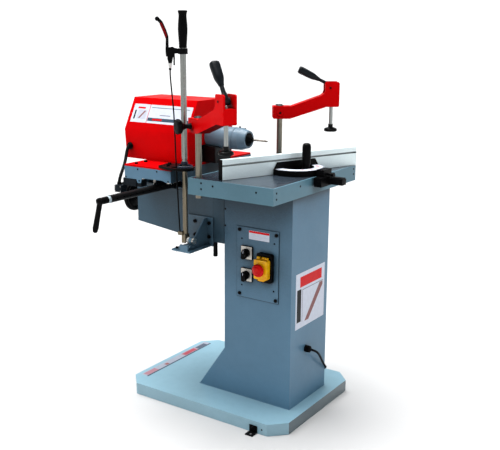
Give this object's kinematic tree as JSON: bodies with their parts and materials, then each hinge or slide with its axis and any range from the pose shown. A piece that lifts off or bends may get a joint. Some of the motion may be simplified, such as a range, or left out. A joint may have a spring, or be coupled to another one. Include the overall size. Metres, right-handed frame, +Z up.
{
  "type": "slot mortiser",
  "caption": "Floor-standing slot mortiser: horizontal drilling spindle on a lever-worked two-way carriage beside a work table with angle fence and cam clamps.",
  "frame": {"origin": "centre of the base plate, on the floor", "axes": "+X is the drilling direction, from the motor towards the work; +Y runs along the slot, away from the operator; +Z is up"},
  "size_m": [0.933, 0.9301, 1.415],
  "materials": {
    "body_paint": "smooth satin blue-grey enamel",
    "red_paint": "gloss red enamel",
    "black_metal": "satin black oxide",
    "black_cast": "fine black paint on castings",
    "black_plastic": "satin black moulding",
    "bright_steel": "ground bright steel",
    "chrome": "polished tube",
    "table_iron": "ground table surface",
    "aluminium": "anodised extrusion",
    "silver_plate": "satin switch plate",
    "yellow_plastic": "gloss yellow moulding",
    "red_plastic": "gloss red moulding",
    "green_plastic": "gloss green moulding",
    "rubber": "matt black sheath",
    "grip_rubber": "soft ribbed grip",
    "dark_box": "dark grey moulding"
  },
  "bodies": {
    "frame": {"base_plate": "body_paint", "column": "body_paint", "floor_brackets": "black_metal", "table_frame": "body_paint", "table_top": "table_iron", "control_panel": "body_paint", "switch_plates": "silver_plate", "estop_box": "black_plastic", "column_way": "body_paint", "frame_screws": "black_metal", "cord_gland": "black_plastic", "mains_cord": "rubber", "mains_coil": "rubber", "mains_plug": "rubber"},
    "rotary_1": {"rotary_knob_1": "black_plastic"},
    "rotary_2": {"rotary_knob_2": "black_plastic"},
    "flap": {"estop_flap": "yellow_plastic"},
    "stop_button": {"estop_button": "red_plastic"},
    "start": {"start_button": "green_plastic"},
    "knee": {"knee_housing": "body_paint", "cross_rods": "bright_steel", "lever_bracket": "body_paint", "knee_screws": "black_metal"},
    "screw": {"height_screw": "black_metal"},
    "wheel": {"handwheel": "black_plastic"},
    "saddle_body": {"saddle": "body_paint"},
    "index": {"index_bar": "black_metal", "kip_lever": "black_plastic"},
    "carriage": {"carriage_tray": "body_paint", "motor_plate": "red_paint", "carriage_rods": "bright_steel", "motor_cover": "red_paint", "spindle_motor": "body_paint", "ring_plate": "black_metal", "motor_cable": "rubber", "junction_box": "dark_box", "carriage_screws": "black_metal"},
    "spindle": {"chuck": "black_metal", "drill_bit": "bright_steel"},
    "pin": {"index_pin": "bright_steel"},
    "yoke": {"lever_yoke": "bright_steel"},
    "lever": {"hand_lever": "chrome", "lever_grip": "grip_rubber", "brake_bracket": "black_metal", "brake_cable": "rubber"},
    "brake": {"brake_lever": "black_metal"},
    "post_1": {"clamp_post_1": "bright_steel"},
    "arm_1": {"clamp_arm_1": "red_paint"},
    "knob_1": {"clamp_knob_1": "black_plastic"},
    "cam_1": {"cam_lever_1": "black_plastic"},
    "plunger_body_1": {"plunger_1": "bright_steel"},
    "post_2": {"clamp_post_2": "bright_steel"},
    "arm_2": {"clamp_arm_2": "red_paint"},
    "knob_2": {"clamp_knob_2": "black_plastic"},
    "cam_2": {"cam_lever_2": "black_plastic"},
    "plunger_body_2": {"plunger_2": "bright_steel"},
    "gauge": {"gauge_bar": "black_metal"},
    "head": {"protractor": "black_cast", "fence": "aluminium"},
    "gauge_grip": {"gauge_handle": "black_plastic"}
  },
  "joints": [
    {"name": "knee_slide", "type": "slide", "parent": "frame", "child": "knee", "axis": [0, 0, 1], "range_m": [-0.06, 0.025]},
    {"name": "saddle_slide", "type": "slide", "parent": "knee", "child": "saddle_body", "axis": [1, 0, 0], "range_m": [-0.105, 0.005]},
    {"name": "carriage_slide", "type": "slide", "parent": "saddle_body", "child": "carriage", "axis": [0, 1, 0], "range_m": [-0.1, 0.1]},
    {"name": "height_screw_turn", "type": "hinge", "parent": "frame", "child": "screw", "pos_m": [-0.0345, -0.109, 0.68], "axis": [0, 0, 1], "range_deg": [-2200, 950]},
    {"name": "handwheel_turn", "type": "hinge", "parent": "knee", "child": "wheel", "pos_m": [-0.43, -0.069, 0.722], "axis": [1, 0, 0], "range_deg": [-2200, 950]},
    {"name": "index_bar_turn", "type": "hinge", "parent": "saddle_body", "child": "index", "pos_m": [-0.208, -0.2, 0.803], "axis": [0, 1, 0], "range_deg": [-90, 90]},
    {"name": "spindle_spin", "type": "hinge", "parent": "carriage", "child": "spindle", "pos_m": [0.03, 0, 0.971], "axis": [1, 0, 0], "continuous": true},
    {"name": "index_pin_lift", "type": "slide", "parent": "carriage", "child": "pin", "axis": [0, 0, 1], "range_m": [0, 0.0062]},
    {"name": "yoke_tilt", "type": "hinge", "parent": "knee", "child": "yoke", "pos_m": [-0.08, -0.225, 0.632], "axis": [1, 0, 0], "range_deg": [-22, 22]},
    {"name": "lever_tilt", "type": "hinge", "parent": "yoke", "child": "lever", "pos_m": [-0.08, -0.225, 0.632], "axis": [0, 1, 0], "range_deg": [-23, 2]},
    {"name": "brake_pull", "type": "hinge", "parent": "lever", "child": "brake", "pos_m": [-0.11316, -0.24737, 1.284], "axis": [-0.5592, 0.829, 0], "range_deg": [0, 16], "stiffness_Nm_per_rad": 3, "springref_deg": -2.86},
    {"name": "rotary_1_turn", "type": "hinge", "parent": "frame", "child": "rotary_1", "pos_m": [0.121, -0.14, 0.596], "axis": [0, 1, 0], "range_deg": [-90, 90]},
    {"name": "rotary_2_turn", "type": "hinge", "parent": "frame", "child": "rotary_2", "pos_m": [0.121, -0.14, 0.5155], "axis": [0, 1, 0], "range_deg": [-90, 90]},
    {"name": "flap_swing", "type": "hinge", "parent": "frame", "child": "flap", "pos_m": [0.194, -0.153, 0.593], "axis": [-1, 0, 0], "range_deg": [0, 100]},
    {"name": "stop_press", "type": "slide", "parent": "flap", "child": "stop_button", "axis": [0, 1, 0], "range_m": [0, 0.005], "stiffness_N_per_m": 700, "springref_m": -0.002},
    {"name": "start_press", "type": "slide", "parent": "frame", "child": "start", "axis": [0, 1, 0], "range_m": [0, 0.003], "stiffness_N_per_m": 700, "springref_m": -0.002},
    {"name": "post_1_slide", "type": "slide", "parent": "frame", "child": "post_1", "axis": [0, 0, 1], "range_m": [-0.015, 0.025]},
    {"name": "arm_1_swivel", "type": "hinge", "parent": "post_1", "child": "arm_1", "pos_m": [0.003, -0.253, 1.04], "axis": [0, 0, 1], "range_deg": [0, 45]},
    {"name": "knob_1_turn", "type": "hinge", "parent": "arm_1", "child": "knob_1", "pos_m": [0.003, -0.253, 1.042], "axis": [0.4462, 0.8949, 0], "range_deg": [-180, 180]},
    {"name": "cam_1_turn", "type": "hinge", "parent": "arm_1", "child": "cam_1", "pos_m": [0.17304, -0.33778, 1.137], "axis": [0.4462, 0.8949, 0], "range_deg": [0, 69]},
    {"name": "plunger_1_slide", "type": "slide", "parent": "arm_1", "child": "plunger_body_1", "axis": [0, 0, 1], "range_m": [-0.0127, 0]},
    {"name": "post_2_slide", "type": "slide", "parent": "frame", "child": "post_2", "axis": [0, 0, 1], "range_m": [-0.015, 0.025]},
    {"name": "arm_2_swivel", "type": "hinge", "parent": "post_2", "child": "arm_2", "pos_m": [0.0065, 0.253, 1.04], "axis": [0, 0, 1], "range_deg": [-54, 16]},
    {"name": "knob_2_turn", "type": "hinge", "parent": "arm_2", "child": "knob_2", "pos_m": [0.0065, 0.253, 1.046], "axis": [-0.6018, 0.7986, 0], "range_deg": [-180, 180]},
    {"name": "cam_2_turn", "type": "hinge", "parent": "arm_2", "child": "cam_2", "pos_m": [0.15824, 0.36734, 1.141], "axis": [-0.6018, 0.7986, 0], "range_deg": [0, 88]},
    {"name": "plunger_2_slide", "type": "slide", "parent": "arm_2", "child": "plunger_body_2", "axis": [0, 0, 1], "range_m": [-0.0155, 0]},
    {"name": "gauge_slide", "type": "slide", "parent": "frame", "child": "gauge", "axis": [1, 0, 0], "range_m": [-0.005, 0.06]},
    {"name": "gauge_swivel", "type": "hinge", "parent": "gauge", "child": "head", "pos_m": [0.222, 0.022, 0.875], "axis": [0, 0, 1], "range_deg": [-5, 21]},
    {"name": "gauge_handle_turn", "type": "hinge", "parent": "gauge", "child": "gauge_grip", "pos_m": [0.262, 0.022, 0.9], "axis": [0, 0, 1], "range_deg": [-120, 120]}
  ],
  "couplings": [
    {"joint": "height_screw_turn", "follows": "knee_slide", "rad_per_m": 628.32},
    {"joint": "handwheel_turn", "follows": "knee_slide", "rad_per_m": 628.32},
    {"joint": "yoke_tilt", "follows": "carriage_slide", "rad_per_m": -3.5},
    {"joint": "lever_tilt", "follows": "saddle_slide", "rad_per_m": 3.5},
    {"joint": "index_pin_lift", "follows": "brake_pull", "m_per_rad": 0.022},
    {"joint": "plunger_1_slide", "follows": "cam_1_turn", "m_per_rad": -0.01},
    {"joint": "plunger_2_slide", "follows": "cam_2_turn", "m_per_rad": -0.01}
  ]
}
